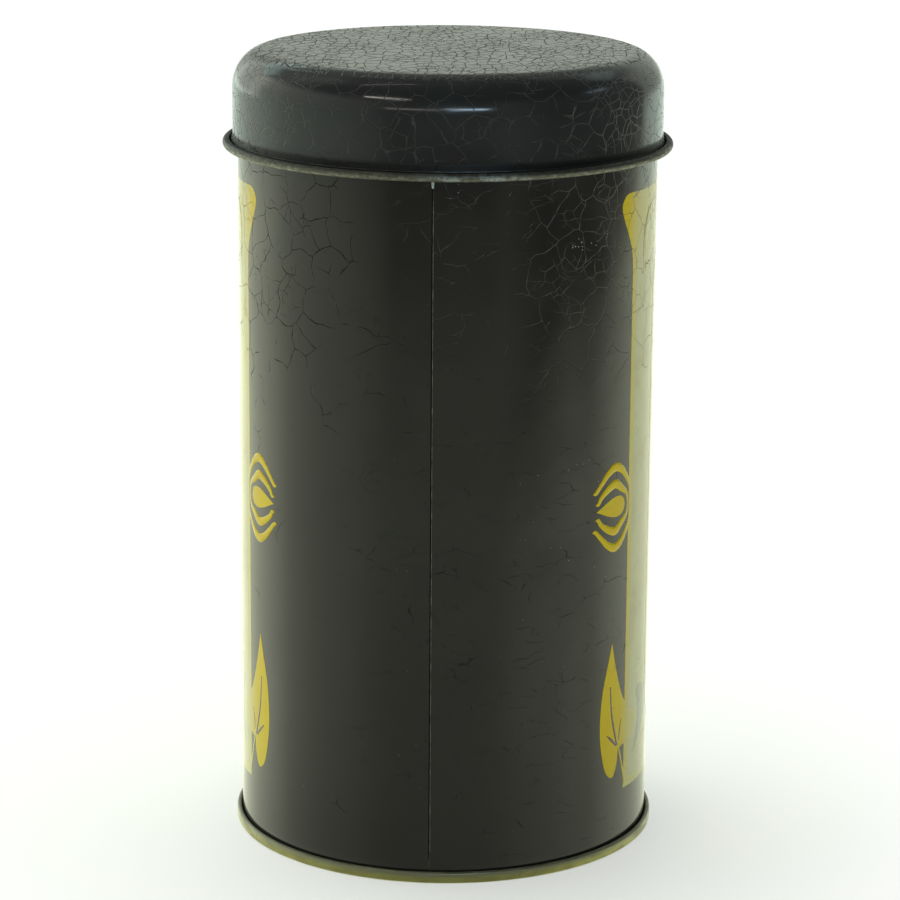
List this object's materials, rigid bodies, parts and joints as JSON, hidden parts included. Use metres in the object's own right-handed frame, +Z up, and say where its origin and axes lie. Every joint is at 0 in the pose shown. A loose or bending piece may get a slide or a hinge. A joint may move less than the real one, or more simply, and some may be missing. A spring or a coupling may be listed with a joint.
{
  "type": "cookie tin",
  "caption": "Tall round tinplate tin with a lock-seamed body, a double-seamed bottom end and a slip-on lid with a rounded shoulder and a rolled edge.",
  "frame": {"origin": "on the tin's axis, at the plane it stands on", "axes": "+Z up along the tin's axis, -Y towards the side seam at the back, +Y towards the printed panel"},
  "size_m": [0.1158, 0.1158, 0.206],
  "materials": {
    "body_black_lacquer": "gloss",
    "lid_black_lacquer": "gloss",
    "gold_lacquered_tinplate": "satin",
    "bare_tinplate": "satin",
    "yellow_print": "gloss",
    "solder": "satin",
    "sealing_compound": "matte"
  },
  "bodies": {
    "can": {"body_wall": "body_black_lacquer", "seam_solder": "solder", "bottom_end": "gold_lacquered_tinplate", "sealing_ring": "sealing_compound"},
    "lid": {"lid": "lid_black_lacquer"}
  },
  "joints": [
    {"name": "lid_lift", "type": "slide", "parent": "can", "child": "lid", "axis": [0, 0, 1], "range_m": [0, 0.06]}
  ]
}
